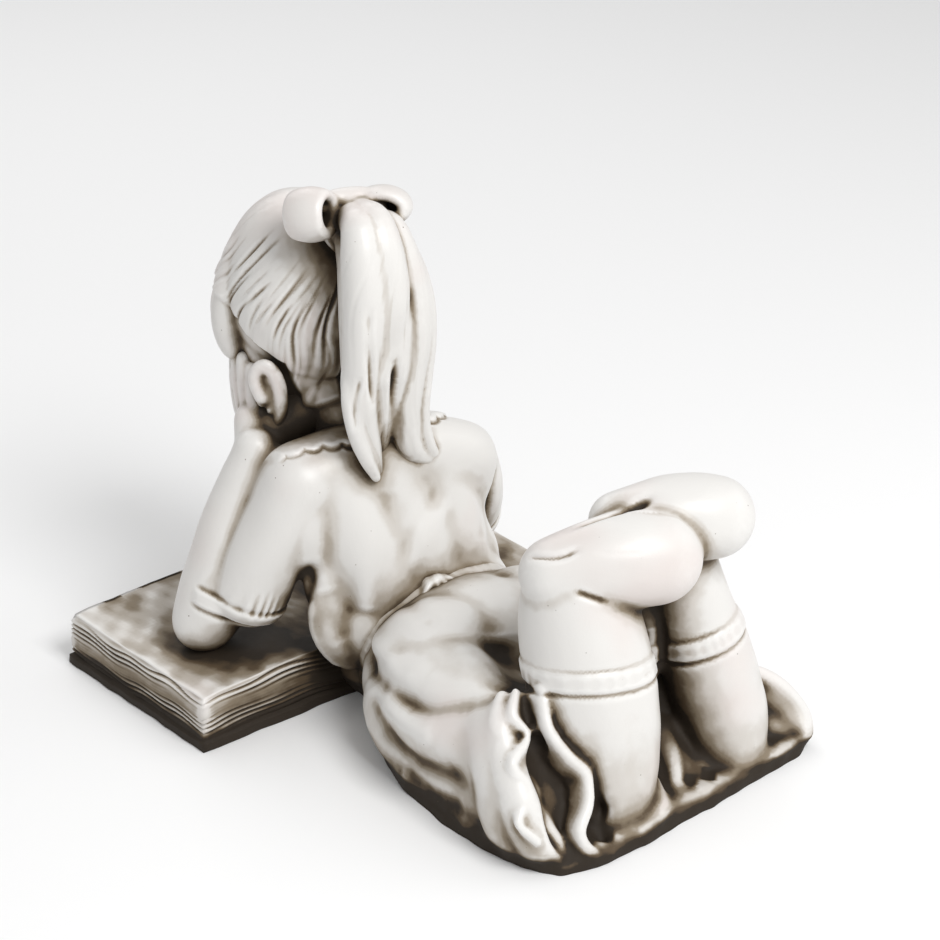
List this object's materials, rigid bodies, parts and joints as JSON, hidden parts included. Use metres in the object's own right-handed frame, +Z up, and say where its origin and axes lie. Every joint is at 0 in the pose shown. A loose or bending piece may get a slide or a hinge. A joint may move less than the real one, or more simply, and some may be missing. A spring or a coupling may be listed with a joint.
{
  "type": "garden statue of a girl reading a book",
  "caption": "Cast stone girl lying on her front, chin in her hands, reading an open book, feet crossed in the air",
  "frame": {"origin": "middle of the footprint's box, at the height of the underside", "axes": "+Y from the feet towards the head and book, along the length; +Z up; +X towards the figure's right side"},
  "size_m": [0.3376, 0.458, 0.3793],
  "materials": {
    "cast_stone": "satin cast stone with a dark wash in its folds"
  },
  "bodies": {
    "root": {"reading_girl": "cast_stone"}
  },
  "joints": []
}
